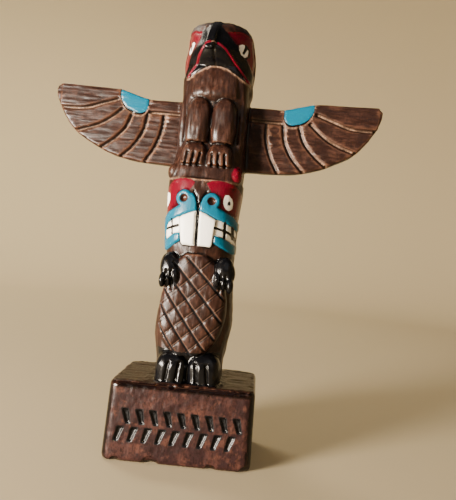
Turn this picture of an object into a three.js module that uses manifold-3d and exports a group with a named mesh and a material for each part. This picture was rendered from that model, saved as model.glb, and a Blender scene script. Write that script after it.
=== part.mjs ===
// A souvenir totem pole: a thunderbird with spread wings above a beaver that holds up its
// cross-hatched tail, on a block base. It is one resin casting, painted to look like carved wood.
// Millimetres, +Z up, the front looks along -Y, the origin is the centre of the underside.
import * as THREE from "three";
import { mergeVertices } from "three/addons/utils/BufferGeometryUtils.js";
import Module from "manifold-3d";

// Base block
const baseWidth = 58.4;
const baseDepth = 37;
const baseHeight = 31;
const baseDraft = 0.9;
const baseCorner = 4;
const baseEdge = 2.2;
const rootDepth = 3;

// Heights of the figures, stacked on the base
const footHeight = 12;
const footOverlap = 1;
const tailHeight = 38.5;
const chinHeight = 4.3;
const toothHeight = 13.5;
const browHeight = 12.7;
const foreheadHeight = 6;
const toeHeight = 5.5;
const ankleHeight = 3.5;
const thighHeight = 17.5;
const headHeight = 31;
const neckOverlap = 3.5;

// Pole: half widths and reaches from the pole's own axis plane
const axisPlane = -1;
const ankleHalfWidth = 13.3;
const haunchHalfWidth = 15.5;
const waistHalfWidth = 14.3;
const wristHalfWidth = 13.7;
const mouthHalfWidth = 14.1;
const faceHalfWidth = 15.1;
const breastHalfWidth = 13.9;
const backReach = 12;
const bodyReach = 12;
const faceReach = 13.6;
const foreheadReach = 12;
const breastReach = 8.6;
const lowerPower = 2.4;
const upperPower = 3.1;
const backPower = 3.6;

// Hand-carved lean: how far each figure is turned, in degrees, and stands off the middle plane
const tailTurn = -1.2;
const faceTurn = -2.2;
const wingTurn = -3.5;
const headTurn = -8.5;
const tailDrift = 0.6;
const pawDrift = 0.3;
const faceDrift = -0.2;
const bodyDrift = 0.45;
const headDrift = 0.2;
const crownDrift = -0.7;

// Beaver
const footHalfWidth = 6.4;
const footReach = 6.3;
const footShoulder = 5;
const footGroove = 0.8;
const footShift = 0.8;
const tailHalfWidth = 13.2;
const tailThickness = 5;
const tailProud = 2.5;
const tailPower = 3.4;
const hatchCount = 7;
const hatchWidth = 1;
const hatchDepth = 0.9;
const hatchMargin = 1.2;
const fallingTop = 46;
const fallingPitch = 8.1;
const fallingSlope = 1.03;
const fallingSteepening = 0.07;
const risingTop = 42.4;
const risingPitch = 7.5;
const risingSlope = 0.95;
const pawHalfWidth = 4.1;
const pawReach = 3.6;
const pawLength = 12.4;
const pawSpread = 10.7;
const pawShift = 0.8;
const clawCount = 3;
const clawPitch = 2.5;
const clawRadius = 1.3;
const toothWidth = 6.2;
const toothProud = 1.1;
const toothGap = 1.1;
const toothTaper = 0.9;
const lipWidth = 2.8;
const lipProud = 0.9;
const mouthHeight = 7.2;
const mouthGrooveWidth = 0.9;
const mouthGrooveDepth = 0.6;
const nostrilRadius = 3;
const nostrilHole = 1.65;
const nostrilSpread = 5.35;
const nostrilRise = 5;
const nostrilProud = 1.5;
const beaverEyeSpread = 11.6;
const beaverEyeHalfWidth = 2.4;
const beaverEyeHalfHeight = 3.2;
const eyeProud = 0.6;
const earRadius = 3.2;

// Thunderbird body
const toePitch = 2.6;
const toeGroove = 0.8;
const birdFootHalfWidth = 5.2;
const birdFootReach = 3.8;
const legSpread = 5.1;
const thighHalfWidth = 5;
const thighReach = 4.3;
const thighPower = 2.6;
const shoulderRadius = 2.3;
const throatReach = 10.6;

// Wings
const wingSpan = 139.2;
const wingThickness = 4.6;
const wingFrontPlane = 1.5;
const wingBevel = 1.1;
const wingTopAtTip = 118;
const wingTopAtRoot = 113.9;
const wingBandDrop = 9.8;
const patchInner = 28.6;
const patchOuter = 41.4;
const patchDrop = 8;
const patchPower = 2.6;
const featherGroove = 1.5;
const featherDepth = 1;
const patchGroove = 0.8;

// Head
const headHalfWidth = 14.7;
const crownHalfWidth = 12.2;
const crownDrop = 3.5;
const ridgeProud = 1.2;
const lobeHalfWidth = 2.2;
const beakReach = 17;
const beakWidth = 3.3;
const beakTipRise = 14.6;
const mouthCornerRise = 6.3;
const beakLipRadius = 0.75;
const birdEyeRise = 18.9;
const birdEyeSpread = 10.1;
const birdEyeTurn = THREE.MathUtils.degToRad(52);
const birdEyeHalfWidth = 3;
const birdEyeHalfHeight = 2.8;

// Band of carved strokes on the base
const strokeRows = 2;
const strokesInRow = 9;
const strokeBandWidth = 48;
const strokeBandHeight = 12.4;
const strokeBandRise = 8.1;
const strokeWidth = 2.5;
const strokeSlant = 1.6;
const strokeDepth = 0.6;
const strokeRowGap = 1.4;

// Heights that follow from the stack, measured from the top of the base
const tailBottom = footHeight - footOverlap;
const tailTop = tailBottom + tailHeight;
const toothBottom = tailTop + chinHeight;
const toothTop = toothBottom + toothHeight;
const faceTop = toothTop + browHeight;
const toeBottom = faceTop + foreheadHeight;
const ankleBottom = toeBottom + toeHeight;
const thighBottom = ankleBottom + ankleHeight;
const thighTop = thighBottom + thighHeight;
const headBottom = thighTop + neckOverlap;
const figureHeight = headBottom + headHeight;

const wasm = await Module();
wasm.setup();

function solidOf(geometry) {
  const bare = geometry.clone();
  bare.deleteAttribute("normal");
  bare.deleteAttribute("uv");
  const merged = mergeVertices(bare, 1e-4);
  return new wasm.Manifold(
    new wasm.Mesh({
      numProp: 3,
      vertProperties: new Float32Array(merged.attributes.position.array),
      triVerts: new Uint32Array(merged.index.array),
    }),
  );
}

function geometryOf(solid) {
  const mesh = solid.getMesh();
  const geometry = new THREE.BufferGeometry();
  geometry.setAttribute("position", new THREE.BufferAttribute(mesh.vertProperties, 3));
  geometry.setIndex(new THREE.BufferAttribute(mesh.triVerts, 1));
  return geometry;
}

function joined(solids) {
  return solids.reduce((sum, next) => sum.add(next));
}

// Moves every vertex of a geometry through one function of its place.
function reshaped(geometry, move) {
  const places = geometry.attributes.position;
  const point = new THREE.Vector3();
  for (let i = 0; i < places.count; i += 1) {
    point.fromBufferAttribute(places, i);
    move(point);
    places.setXYZ(i, point.x, point.y, point.z);
  }
  return geometry;
}

// The same solid on the other side of the middle plane.
function mirrored(geometry) {
  const copy = geometry.index ? geometry.toNonIndexed() : geometry.clone();
  const places = copy.attributes.position;
  const a = new THREE.Vector3();
  const b = new THREE.Vector3();
  for (let i = 0; i < places.count; i += 3) {
    a.fromBufferAttribute(places, i + 1);
    b.fromBufferAttribute(places, i + 2);
    places.setXYZ(i + 1, b.x, b.y, b.z);
    places.setXYZ(i + 2, a.x, a.y, a.z);
  }
  copy.scale(-1, 1, 1);
  return copy;
}

function bothSides(geometry) {
  return solidOf(geometry).add(solidOf(mirrored(geometry)));
}

// A smooth curve through [height, value] rows.
function profile(rows) {
  const heights = rows.map((row) => row[0]);
  const values = rows.map((row) => row[1]);
  const curve = new THREE.CubicInterpolant(heights, values, 1);
  return (height) => {
    const inside = THREE.MathUtils.clamp(height, heights[0], heights[heights.length - 1]);
    return curve.evaluate(inside)[0];
  };
}

// One quarter of a superellipse: how far it reaches forward at a share of its half width.
function superReach(share, power) {
  const outward = Math.min(Math.abs(share), 1) ** power;
  return (1 - outward) ** (1 / power);
}

// A closed upright form whose section changes with height.
// section(height) gives { halfWidth, front, back, frontPower, backPower, centre }.
function upright(bottom, top, sides, rings, section) {
  const geometry = new THREE.CylinderGeometry(1, 1, 1, sides, rings);
  geometry.rotateX(Math.PI / 2);
  return reshaped(geometry, (point) => {
    const height = THREE.MathUtils.lerp(bottom, top, point.z + 0.5);
    const radius = Math.min(Math.hypot(point.x, point.y), 1);
    const across = point.x / (radius || 1);
    const along = point.y / (radius || 1);
    const s = section(height);
    const power = along < 0 ? s.frontPower : s.backPower;
    const reach = along < 0 ? s.front : s.back;
    const shaped = (value) => Math.sign(value) * Math.abs(value) ** (2 / power);
    point.set(
      radius * s.halfWidth * shaped(across),
      s.centre + radius * reach * shaped(along),
      height,
    );
  });
}

function ellipsoid(centre, radii, tilt = 0, turns = 10, rings = 6) {
  const geometry = new THREE.SphereGeometry(1, turns, rings);
  geometry.rotateX(Math.PI / 2);
  geometry.scale(...radii);
  geometry.rotateY(tilt);
  geometry.translate(...centre);
  return geometry;
}

// A closed band of even width along a line of [x, z] points.
function bandShape(points, width) {
  const middle = points.map(([x, z]) => new THREE.Vector2(x, z));
  const left = [];
  const right = [];
  middle.forEach((point, i) => {
    const before = middle[Math.max(i - 1, 0)];
    const after = middle[Math.min(i + 1, middle.length - 1)];
    const aside = after.clone().sub(before).normalize().multiplyScalar(width / 2);
    left.push(new THREE.Vector2(point.x - aside.y, point.y + aside.x));
    right.unshift(new THREE.Vector2(point.x + aside.y, point.y - aside.x));
  });
  return new THREE.Shape([...left, ...right]);
}

// Points spread evenly on a smooth line through a few chosen ones.
function smoothLine(points, steps) {
  const curve = new THREE.SplineCurve(points.map(([x, z]) => new THREE.Vector2(x, z)));
  return curve.getPoints(steps).map((point) => [point.x, point.y]);
}

// A shape drawn in the front view, extruded backward from `front` to `back`.
function frontPlate(shape, front, back, bevel = 0, bevelSteps = 1) {
  const geometry = new THREE.ExtrudeGeometry(shape, {
    depth: back - front - 2 * bevel,
    bevelEnabled: bevel > 0,
    bevelThickness: bevel,
    bevelSize: bevel,
    bevelOffset: -bevel,
    bevelSegments: bevelSteps,
    curveSegments: 7,
  });
  geometry.rotateX(Math.PI / 2);
  geometry.translate(0, back - bevel, 0);
  return geometry;
}

// A front plate laid on a curved surface: it stands `proud` of it and is rooted behind it.
function laidOn(shape, surface, proud, rooted, bevel = 0) {
  return reshaped(frontPlate(shape, -proud, rooted, bevel), (point) => {
    point.y += surface(point.x, point.z);
  });
}

// Pole of the lower figure, from inside the base to the rim over the face
const lowerHalfWidth = profile([
  [0, ankleHalfWidth],
  [tailBottom - 3, ankleHalfWidth + 0.4],
  [tailBottom + 3, ankleHalfWidth + 1.3],
  [tailBottom + 10, haunchHalfWidth],
  [tailBottom + 24, waistHalfWidth],
  [tailTop - 3, wristHalfWidth],
  [toothBottom + 3, mouthHalfWidth],
  [toothTop, mouthHalfWidth + 0.6],
  [faceTop - 6, faceHalfWidth],
  [faceTop, faceHalfWidth],
]);
const lowerReach = profile([
  [0, bodyReach - 1],
  [tailBottom + 12, bodyReach],
  [tailTop - 3, bodyReach - 0.4],
  [tailTop + 1.5, faceReach - 0.6],
  [toothBottom + 5, faceReach],
  [faceTop, faceReach - 0.9],
]);

function lowerSection(height) {
  return {
    halfWidth: lowerHalfWidth(height),
    front: lowerReach(height),
    back: backReach,
    frontPower: lowerPower,
    backPower,
    centre: axisPlane,
  };
}

function lowerSurface(x, height) {
  const share = x / lowerHalfWidth(height);
  return axisPlane - lowerReach(height) * superReach(share, lowerPower);
}

function lowerPole() {
  return solidOf(upright(-rootDepth, faceTop, 20, 14, lowerSection));
}

// Pole of the upper figure, from the forehead to inside the head
const upperHalfWidth = profile([
  [faceTop - 1, faceHalfWidth - 0.5],
  [toeBottom - 1, faceHalfWidth - 0.6],
  [ankleBottom, breastHalfWidth],
  [headBottom + 6, breastHalfWidth - 0.2],
]);
const upperReach = profile([
  [faceTop - 1, foreheadReach],
  [toeBottom - 1, foreheadReach - 0.8],
  [ankleBottom, breastReach + 0.6],
  [thighTop, breastReach],
  [headBottom + 6, breastReach - 0.4],
]);

function upperSection(height) {
  return {
    halfWidth: upperHalfWidth(height),
    front: upperReach(height),
    back: backReach,
    frontPower: upperPower,
    backPower,
    centre: axisPlane,
  };
}

function upperPole() {
  return solidOf(upright(faceTop - 2, headBottom + 6, 20, 5, upperSection));
}

// Beaver's feet: two broad blocks with round tops and toe grooves
function feet() {
  const centre = axisPlane - bodyReach + 3.4;
  const lobe = upright(-rootDepth, footHeight, 12, 5, (height) => {
    const share = Math.max((height - footShoulder) / (footHeight - footShoulder), 0);
    const drawn = Math.max(1 - share ** 2.5, 0.01) ** 0.4;
    return {
      halfWidth: footHalfWidth * drawn,
      front: footReach * drawn,
      back: footReach * drawn,
      frontPower: 2.8,
      backPower: 2,
      centre,
    };
  });
  lobe.translate(footHalfWidth, 0, 0);
  const grooves = [];
  for (let i = 1; i < clawCount; i += 1) {
    const x = (2 * footHalfWidth * i) / clawCount;
    const line = [
      [x, -1],
      [x - 1.2, footHeight * 0.6],
    ];
    const front = centre - footReach;
    grooves.push(bothSides(frontPlate(bandShape(line, footGroove), front - 1, front + 0.9)));
  }
  return bothSides(lobe).subtract(joined(grooves)).translate([footShift, 0, 0]);
}

// Beaver's tail: a broad slab held up in front, egg-shaped below, its face cut with crossing lines
const tailCentre = axisPlane - bodyReach - tailProud + tailThickness;

const tailHalf = profile([
  [tailBottom, tailHalfWidth - 8.7],
  [tailBottom + 1, tailHalfWidth - 6.9],
  [tailBottom + 3, tailHalfWidth - 4.5],
  [tailBottom + 5.7, tailHalfWidth - 2.6],
  [tailBottom + 9.2, tailHalfWidth - 1.1],
  [tailBottom + 13, tailHalfWidth - 0.2],
  [tailBottom + 17, tailHalfWidth],
  [tailBottom + 26, tailHalfWidth - 1],
  [tailBottom + 31, tailHalfWidth - 1.7],
  [tailTop, tailHalfWidth - 2.7],
]);

function tailSurface(x, height) {
  return tailCentre - tailThickness * superReach(x / tailHalf(height), tailPower);
}

// Four points evenly along the part of a straight line that lies on the slab.
function hatchLine(middle, slope) {
  const inside = [];
  for (let x = -tailHalfWidth; x <= tailHalfWidth; x += 0.4) {
    const height = middle + slope * x;
    const between = height > tailBottom + hatchMargin && height < tailTop;
    if (between && Math.abs(x) < tailHalf(height) - hatchMargin) inside.push([x, height]);
  }
  if (inside.length < 6) return [];
  return [0, 1 / 3, 2 / 3, 1].map((share) => inside[Math.round(share * (inside.length - 1))]);
}

function tail() {
  const slab = upright(tailBottom, tailTop + 1, 16, 9, (height) => ({
    halfWidth: tailHalf(height),
    front: tailThickness,
    back: tailThickness,
    frontPower: tailPower,
    backPower: tailPower,
    centre: tailCentre,
  }));
  const lines = [];
  for (let i = 0; i < hatchCount; i += 1) {
    lines.push(hatchLine(fallingTop - fallingPitch * i, -fallingSlope - fallingSteepening * i));
    lines.push(hatchLine(risingTop - risingPitch * i, risingSlope));
  }
  const cuts = lines
    .filter((line) => line.length > 1)
    .map((line) => solidOf(laidOn(bandShape(line, hatchWidth), tailSurface, 2, hatchDepth)));
  return { slab: solidOf(slab), hatch: joined(cuts) };
}

// Beaver's paws hold the tail from both sides
function paws() {
  const middle = tailTop - pawLength * 0.43;
  const front = tailCentre - tailThickness * 0.45;
  const parts = [
    bothSides(ellipsoid([pawSpread, front, middle], [pawHalfWidth, pawReach, pawLength / 2])),
  ];
  for (let i = 0; i < clawCount; i += 1) {
    const x = pawSpread + (i - (clawCount - 1) / 2) * clawPitch;
    const height = middle - 2.6 - i;
    const claw = [clawRadius, 1.7, clawRadius * 2.2];
    parts.push(bothSides(ellipsoid([x, front - 2.4, height], claw, 0, 7, 5)));
  }
  return joined(parts).translate([pawShift, 0, 0]);
}

// Beaver's mouth: two long teeth, lips that close round the corners, and cut lines between the side teeth
function mouth() {
  const halfGap = toothGap / 2;
  const tooth = new THREE.Shape([
    new THREE.Vector2(halfGap, toothBottom),
    new THREE.Vector2(toothWidth - toothTaper, toothBottom),
    new THREE.Vector2(toothWidth, toothBottom + 1),
    new THREE.Vector2(toothWidth + toothTaper, toothTop - 2.2),
    new THREE.Vector2(halfGap, toothTop),
  ]);
  const corner = mouthHalfWidth - 1.5;
  const upperLip = smoothLine(
    [
      [0, toothTop + 1],
      [5.5, toothTop + 0.6],
      [9.5, toothTop - 1.4],
      [12.5, toothTop - 4.4],
      [corner, toothTop - mouthHeight],
    ],
    5,
  );
  const lowerLip = smoothLine(
    [
      [toothWidth - toothTaper + 1, toothBottom + 3.4],
      [9.5, toothBottom + 1.6],
      [corner, toothBottom - 1.4],
    ],
    3,
  );
  const cornerLine = [
    [corner, toothTop - mouthHeight + 1.5],
    [corner, toothBottom - 1.6],
  ];
  return joined([
    bothSides(laidOn(tooth, lowerSurface, toothProud, 2, 0.4)),
    bothSides(laidOn(bandShape(upperLip, lipWidth), lowerSurface, lipProud, 1.6, 0.4)),
    bothSides(laidOn(bandShape(lowerLip, lipWidth), lowerSurface, lipProud, 1.6, 0.4)),
    bothSides(laidOn(bandShape(cornerLine, 1.6), lowerSurface, lipProud * 0.8, 1.6)),
  ]);
}

function mouthCuts() {
  const bite = smoothLine(
    [
      [toothWidth, toothTop - 5.6],
      [9.5, toothTop - 6.6],
      [mouthHalfWidth - 2.1, toothTop - 9.2],
    ],
    4,
  );
  const uprights = [9.6, 11.8].map((x, i) => [
    [x, toothTop - 2.8 - i * 1.6],
    [x - 0.3, toothTop - 9 - i],
  ]);
  return joined(
    [bite, ...uprights].map((line) =>
      bothSides(
        laidOn(bandShape(line, mouthGrooveWidth), lowerSurface, 0.3, mouthGrooveDepth),
      ),
    ),
  );
}

// Beaver's nose: two ringed nostrils with a wedge of brow between them
function nose() {
  const height = toothTop + nostrilRise;
  const surface = lowerSurface(nostrilSpread, height);
  const lobe = ellipsoid(
    [nostrilSpread, surface + 0.9, height - 0.4],
    [nostrilRadius, nostrilProud + 0.9, nostrilRadius * 1.25],
  );
  const neck = laidOn(
    bandShape(
      [
        [nostrilSpread - 1.6, height - 1],
        [2.4, toothTop + 0.6],
      ],
      3.4,
    ),
    lowerSurface,
    lipProud,
    1.6,
    0.4,
  );
  const hole = new THREE.CylinderGeometry(nostrilHole, nostrilHole * 0.7, 3, 10);
  hole.rotateX(-Math.PI / 2);
  hole.translate(nostrilSpread, surface - nostrilProud - 0.2, height);
  const brow = new THREE.Shape([
    new THREE.Vector2(-3.2, faceTop - 2.6),
    new THREE.Vector2(0, height - 1.6),
    new THREE.Vector2(3.2, faceTop - 2.6),
  ]);
  return joined([
    bothSides(lobe).subtract(bothSides(hole)),
    bothSides(neck),
    solidOf(laidOn(brow, lowerSurface, 0.7, 1.6)),
  ]);
}

function beaverEyes() {
  const height = toothTop + nostrilRise;
  const surface = lowerSurface(beaverEyeSpread, height);
  const radii = [beaverEyeHalfWidth, 1.6, beaverEyeHalfHeight];
  const eye = ellipsoid([beaverEyeSpread, surface + 1 - eyeProud, height], radii, 0.15);
  const ear = ellipsoid(
    [faceHalfWidth - 2.8, axisPlane - foreheadReach * 0.55, faceTop + 3],
    [earRadius * 0.8, earRadius, earRadius * 1.1],
    -0.2,
    8,
    6,
  );
  return bothSides(eye).add(bothSides(ear));
}

// Thunderbird's legs: a round-topped foot cut into toes below, and a boxy thigh on each side
function legs() {
  const front = axisPlane - breastReach;
  const foot = upright(toeBottom, thighBottom, 10, 5, (height) => {
    const share = (height - toeBottom) / (thighBottom - toeBottom);
    const drawn = Math.max(1 - share ** 3.2, 0.02) ** 0.4;
    return {
      halfWidth: birdFootHalfWidth * drawn,
      front: birdFootReach * drawn,
      back: birdFootReach * drawn,
      frontPower: 3,
      backPower: 2,
      centre: front,
    };
  });
  foot.translate(legSpread, 0, 0);
  const grooves = [];
  for (let i = -1; i <= 1; i += 1) {
    const x = legSpread + i * toePitch;
    const line = [
      [x, toeBottom - 1],
      [x, toeBottom + toeHeight - 1],
    ];
    const face = front - birdFootReach;
    grooves.push(bothSides(frontPlate(bandShape(line, toeGroove), face - 1, face + 0.9)));
  }
  const thigh = upright(thighBottom, thighTop, 10, 7, (height) => {
    const share = (height - thighBottom) / thighHeight;
    const swell = Math.max(1 - Math.abs((share - 0.42) / 0.6) ** 2.8, 0.02) ** 0.4;
    return {
      halfWidth: thighHalfWidth * swell,
      front: thighReach * swell,
      back: thighReach * swell,
      frontPower: thighPower,
      backPower: 2,
      centre: front + 0.4,
    };
  });
  thigh.translate(legSpread, 0, 0);
  return joined([
    bothSides(foot).subtract(joined(grooves)),
    bothSides(thigh),
  ]);
}

// Thunderbird's breast: broad under the beak, its lower edge overhanging the thighs
const throatBottom = thighTop - 2;
const throatTop = headBottom + 11;
const throatFront = profile([
  [throatBottom, throatReach - 4],
  [throatBottom + 2, throatReach - 1],
  [throatBottom + 8, throatReach],
  [throatTop, throatReach - 1.5],
]);

function breast() {
  const throat = upright(throatBottom, throatTop, 14, 4, (height) => ({
    halfWidth: breastHalfWidth - 1.2,
    front: throatFront(height),
    back: breastReach,
    frontPower: 2.3,
    backPower: 2,
    centre: axisPlane,
  }));
  const shoulder = ellipsoid(
    [breastHalfWidth - shoulderRadius, axisPlane - 3.4, (toeBottom + thighTop) / 2 + 3],
    [shoulderRadius, 4, (thighTop - toeBottom) * 0.6],
    0,
    6,
    6,
  );
  return solidOf(throat).add(bothSides(shoulder));
}

// Wings: flat plates with a sweep of feathers cut into the front
function wingShape() {
  const tip = wingSpan / 2;
  const root = breastHalfWidth - 5;
  const shape = new THREE.Shape();
  shape.moveTo(root, wingTopAtRoot);
  shape.lineTo(patchInner - 1.6, wingTopAtRoot);
  shape.quadraticCurveTo(patchInner + 5, wingTopAtRoot + 0.6, patchOuter, wingTopAtTip - 0.6);
  shape.lineTo(tip - 2, wingTopAtTip);
  const edge = [
    [tip - 2, wingTopAtTip],
    [tip, wingTopAtTip - 2.5],
    [tip - 1.4, wingTopAtTip - 8],
    [tip - 6.5, wingTopAtTip - 16.1],
    [tip - 12.2, wingTopAtTip - 21.6],
    [tip - 20.6, wingTopAtTip - 26],
    [patchOuter + 1.7, wingTopAtTip - 28.4],
    [patchInner + 3, wingTopAtTip - 30.8],
    [root, wingTopAtTip - 31.6],
  ];
  smoothLine(edge, 13).forEach(([x, height]) => shape.lineTo(x, height));
  return shape;
}

function wingCuts() {
  const band = wingTopAtTip - wingBandDrop;
  const tip = wingSpan / 2;
  const lines = [
    [[breastHalfWidth + 1, band], [patchInner - 0.6, band]],
    [[21.7, band], [22.1, band - 6.7], [24.3, band - 13.9], [27.2, band - 19.2]],
    [[28.8, band - 0.7], [30, band - 7.7], [33.2, band - 13.7], [37.2, band - 18.2]],
    [[35.6, band - 1.2], [37.9, band - 7.2], [42.3, band - 12.2], [46.7, band - 15.7]],
    [[40, band + 0.5], [45.3, band - 4], [50.8, band - 7.2], [58.3, band - 9.8]],
    [[42.4, band + 4.6], [49.5, band + 2.1], [57, band - 0.2], [tip - 2, band - 0.4]],
  ];
  const middle = (patchInner + patchOuter) / 2;
  const radius = (patchOuter - patchInner) / 2;
  const patchLine = [];
  for (let angle = 0; angle <= 180; angle += 30) {
    const share = Math.cos(THREE.MathUtils.degToRad(angle));
    const top = THREE.MathUtils.lerp(wingTopAtRoot, wingTopAtTip, 0.5 + 0.5 * share);
    patchLine.push([middle + radius * share, top - patchDrop * superReach(share, patchPower)]);
  }
  const cuts = lines.map((line) => [smoothLine(line, line.length > 2 ? 3 : 1), featherGroove, featherDepth]);
  cuts.push([patchLine, patchGroove, featherDepth * 0.6]);
  return joined(
    cuts.map(([line, width, depth]) =>
      bothSides(frontPlate(bandShape(line, width), wingFrontPlane - 1, wingFrontPlane + depth)),
    ),
  );
}

function wings() {
  const back = wingFrontPlane + wingThickness;
  return bothSides(frontPlate(wingShape(), wingFrontPlane, back, wingBevel)).subtract(wingCuts());
}

// Thunderbird's head: a prow in plan, with a hooked beak along its edge
const beakTip = headBottom + beakTipRise;
const crownTop = figureHeight - ridgeProud;
const headHalf = profile([
  [headBottom, headHalfWidth - 0.8],
  [headBottom + 6, headHalfWidth - 0.5],
  [beakTip - 3, headHalfWidth],
  [beakTip + 1, headHalfWidth - 0.1],
  [beakTip + 5.5, headHalfWidth - 0.8],
  [beakTip + 9, headHalfWidth - 1.2],
  [crownTop - crownDrop, crownHalfWidth + 0.4],
  [crownTop - 1, crownHalfWidth - 1.5],
  [crownTop, crownHalfWidth - 4],
]);
const headReach = profile([
  [headBottom, breastReach],
  [headBottom + 8, breastReach + 1.4],
  [headBottom + 10.5, breastReach + 2.6],
  [beakTip - 2, beakReach - 2.4],
  [beakTip, beakReach - 1],
  [beakTip + 4.5, beakReach - 2],
  [beakTip + 9, beakReach - 4.4],
  [crownTop - crownDrop, beakReach - 7],
  [crownTop - 1, beakReach - 11],
  [crownTop, beakReach - 13],
]);
const headPower = profile([
  [headBottom, 2.4],
  [headBottom + 9, 1.9],
  [beakTip - 1, 1.5],
  [beakTip + 8, 1.55],
  [figureHeight, 2],
]);

function headSection(height) {
  return {
    halfWidth: headHalf(height),
    front: headReach(height),
    back: Math.min(backReach, 5 + (figureHeight - height) * 1.6),
    frontPower: headPower(height),
    backPower: 2.8,
    centre: axisPlane + 1,
  };
}

function headSurface(x, height) {
  const s = headSection(height);
  return s.centre - s.front * superReach(x / s.halfWidth, s.frontPower);
}

function head() {
  const skull = solidOf(upright(headBottom, crownTop, 20, 12, headSection));
  const front = axisPlane + 1 - beakReach;
  const side = new THREE.Shape();
  side.moveTo(axisPlane, figureHeight);
  side.quadraticCurveTo(front + 7, figureHeight - 1.5, front + 2.2, figureHeight - 9);
  side.quadraticCurveTo(front, beakTip + 4, front, beakTip - 0.6);
  side.lineTo(front + 3.5, beakTip + 1);
  side.lineTo(axisPlane, beakTip + 1);
  const beak = new THREE.ExtrudeGeometry(side, {
    depth: beakWidth - 1.6,
    bevelThickness: 0.8,
    bevelSize: 0.8,
    bevelOffset: -0.8,
    bevelSegments: 1,
    curveSegments: 6,
  });
  // The side view's (y, height) become world y and z, and its thickness runs along x.
  beak.translate(0, 0, 0.8 - beakWidth / 2);
  beak.rotateX(Math.PI / 2);
  beak.rotateZ(Math.PI / 2);
  return joined([skull, solidOf(beak), lips(), birdEyes(), headLobes()]);
}

function lips() {
  const corner = headHalfWidth - 1.9;
  const points = [];
  for (let share = 0; share <= 1.001; share += 0.2) {
    const x = 1.2 + share * (corner - 1.2);
    const height = headBottom + THREE.MathUtils.lerp(beakTipRise + 0.2, mouthCornerRise, share ** 0.9);
    points.push(new THREE.Vector3(x, headSurface(x, height) - 0.1, height));
  }
  const section = new THREE.Shape();
  section.absarc(0, 0, beakLipRadius, 0, Math.PI * 2);
  const lip = new THREE.ExtrudeGeometry(section, {
    steps: 4,
    curveSegments: 3,
    extrudePath: new THREE.CatmullRomCurve3(points),
  });
  return bothSides(lip);
}

function birdEyes() {
  const height = headBottom + birdEyeRise;
  const radii = [birdEyeHalfWidth, 1.4, birdEyeHalfHeight];
  const eye = ellipsoid([0, 0, 0], radii);
  eye.rotateZ(birdEyeTurn);
  eye.translate(birdEyeSpread, headSurface(birdEyeSpread, height) + 0.8, height);
  return bothSides(eye);
}

function headLobes() {
  const centre = [headHalfWidth - lobeHalfWidth - 0.2, axisPlane + 3, headBottom + 3.4];
  return bothSides(ellipsoid(centre, [lobeHalfWidth, 5, 4.6], 0, 8, 6));
}

// Base block, with a little draft and the band of carved strokes
function base() {
  const half = new THREE.Vector2(baseWidth / 2, baseDepth / 2);
  const r = baseCorner;
  const outline = new THREE.Shape();
  outline.moveTo(-half.x + r, -half.y);
  outline.lineTo(half.x - r, -half.y);
  outline.absarc(half.x - r, -half.y + r, r, -Math.PI / 2, 0);
  outline.lineTo(half.x, half.y - r);
  outline.absarc(half.x - r, half.y - r, r, 0, Math.PI / 2);
  outline.lineTo(-half.x + r, half.y);
  outline.absarc(-half.x + r, half.y - r, r, Math.PI / 2, Math.PI);
  outline.lineTo(-half.x, -half.y + r);
  outline.absarc(-half.x + r, -half.y + r, r, Math.PI, Math.PI * 1.5);
  const block = new THREE.ExtrudeGeometry(outline, {
    depth: baseHeight - 2 * baseEdge,
    bevelThickness: baseEdge,
    bevelSize: baseEdge,
    bevelOffset: -baseEdge,
    bevelSegments: 2,
    curveSegments: 3,
  });
  block.translate(0, 0, baseEdge);
  reshaped(block, (point) => {
    const drawn = 1 - (baseDraft * point.z) / baseHeight / half.x;
    point.x *= drawn;
    point.y *= drawn;
  });
  return solidOf(block).subtract(strokes());
}

function strokes() {
  const pitch = strokeBandWidth / strokesInRow;
  const rowHeight = (strokeBandHeight - strokeRowGap * (strokeRows - 1)) / strokeRows;
  const front = (height) => -baseDepth / 2 + (baseDraft * height) / baseHeight;
  const cuts = [];
  for (let row = 0; row < strokeRows; row += 1) {
    const lean = row % 2 === 0 ? strokeSlant : -strokeSlant;
    const low = strokeBandRise + row * (rowHeight + strokeRowGap);
    for (let i = 0; i < strokesInRow; i += 1) {
      const x = -strokeBandWidth / 2 + (i + 0.25 + 0.5 * (row % 2)) * pitch;
      const wedge = new THREE.Shape([
        new THREE.Vector2(x - lean / 2 - strokeWidth * 0.3, low),
        new THREE.Vector2(x - lean / 2 + strokeWidth * 0.3, low),
        new THREE.Vector2(x + lean / 2 + strokeWidth / 2, low + rowHeight),
        new THREE.Vector2(x + lean / 2 - strokeWidth / 2, low + rowHeight),
      ]);
      cuts.push(solidOf(frontPlate(wedge, front(low) - 1, front(low) + strokeDepth)));
    }
  }
  return joined(cuts);
}

// The carver's lean: every height of the pole has its own turn and drift
const poleTurn = profile([
  [0, 0],
  [tailBottom + 19, tailTurn],
  [toothBottom + 6, faceTurn],
  [ankleBottom, wingTurn],
  [thighTop, wingTurn],
  [headBottom + 6, headTurn],
  [figureHeight, headTurn],
]);
const poleDrift = profile([
  [0, 0],
  [tailBottom + 9, 0],
  [tailBottom + 23, tailDrift],
  [tailTop - 3, pawDrift],
  [toothBottom + 4, faceDrift],
  [faceTop, faceDrift],
  [ankleBottom, bodyDrift],
  [thighTop, bodyDrift],
  [beakTip - 2, headDrift],
  [beakTip + 5, headDrift],
  [figureHeight, crownDrift],
]);

function leant(solid, turn, drift) {
  const moved = reshaped(geometryOf(solid), (point) => {
    const angle = THREE.MathUtils.degToRad(turn(point.z));
    const { x, y } = point;
    point.x = x * Math.cos(angle) - y * Math.sin(angle) + drift(point.z);
    point.y = x * Math.sin(angle) + y * Math.cos(angle);
  });
  return solidOf(moved);
}

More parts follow.
